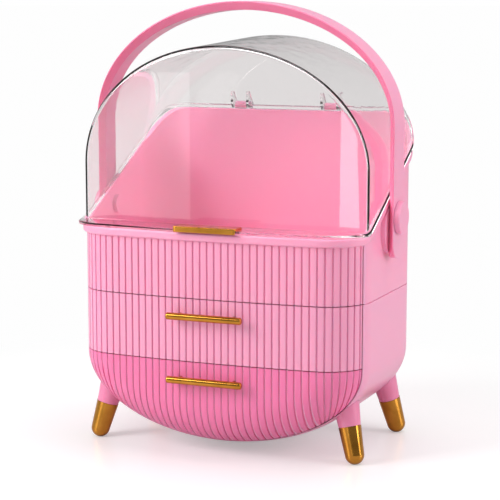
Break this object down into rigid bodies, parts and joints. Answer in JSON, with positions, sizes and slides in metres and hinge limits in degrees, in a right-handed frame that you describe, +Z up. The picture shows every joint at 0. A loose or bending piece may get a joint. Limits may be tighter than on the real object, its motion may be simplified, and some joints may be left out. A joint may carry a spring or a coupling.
{
  "type": "makeup storage case",
  "caption": "Upright fluted cosmetics case on splayed legs, with a clear hinged lid, wrap-round drawers with bar pulls and a swinging carrying handle.",
  "frame": {"origin": "on the floor plane under the middle of the object's bounding box", "axes": "+Z up, -Y towards the drawers' fronts, +X to the right as seen from behind the viewer who faces the drawers"},
  "size_m": [0.3062, 0.2126, 0.408],
  "materials": {
    "pink_gloss": "gloss, moulded",
    "deep_pink_gloss": "gloss, moulded",
    "pink_satin": "satin, moulded",
    "clear_acrylic": "clear, polished",
    "gold_plated": "polished gold plating",
    "steel": "zinc plated"
  },
  "bodies": {
    "case": {"housing": "pink_gloss", "tub": "pink_gloss", "tub_screws": "steel", "leg_screws": "steel", "pivot_pin_right": "pink_satin", "pivot_pin_left": "pink_satin", "pivot_nut_right": "pink_satin", "pivot_nut_left": "pink_satin", "pivot_button_right": "pink_gloss", "pivot_button_left": "pink_gloss", "leg_front_left": "pink_gloss", "leg_cap_front_left": "gold_plated", "leg_front_right": "pink_gloss", "leg_cap_front_right": "gold_plated", "leg_rear_left": "pink_gloss", "leg_cap_rear_left": "gold_plated", "leg_rear_right": "pink_gloss", "leg_cap_rear_right": "gold_plated"},
    "handle": {"handle": "pink_gloss"},
    "lid": {"lid_dome": "clear_acrylic", "lid_pull": "gold_plated", "hinge_pin_right": "steel", "hinge_pin_left": "steel"},
    "upper_drawer": {"upper_drawer_front": "pink_gloss", "upper_drawer_tray": "pink_satin", "upper_drawer_pull": "gold_plated", "upper_pull_screws": "steel"},
    "lower_drawer": {"lower_drawer_front": "deep_pink_gloss", "lower_drawer_tray": "pink_satin", "lower_drawer_pull": "gold_plated", "lower_pull_screws": "steel"}
  },
  "joints": [
    {"name": "handle_pivot", "type": "hinge", "parent": "case", "child": "handle", "pos_m": [0, -0.00285, 0.2156], "axis": [1, 0, 0], "range_deg": [-90, 90]},
    {"name": "lid_hinge", "type": "hinge", "parent": "case", "child": "lid", "pos_m": [0, 0.10115, 0.306], "axis": [-1, 0, 0], "range_deg": [0, 12]},
    {"name": "upper_drawer_slide", "type": "slide", "parent": "case", "child": "upper_drawer", "axis": [0, -1, 0], "range_m": [0, 0.1]},
    {"name": "lower_drawer_slide", "type": "slide", "parent": "case", "child": "lower_drawer", "axis": [0, -1, 0], "range_m": [0, 0.1]}
  ]
}
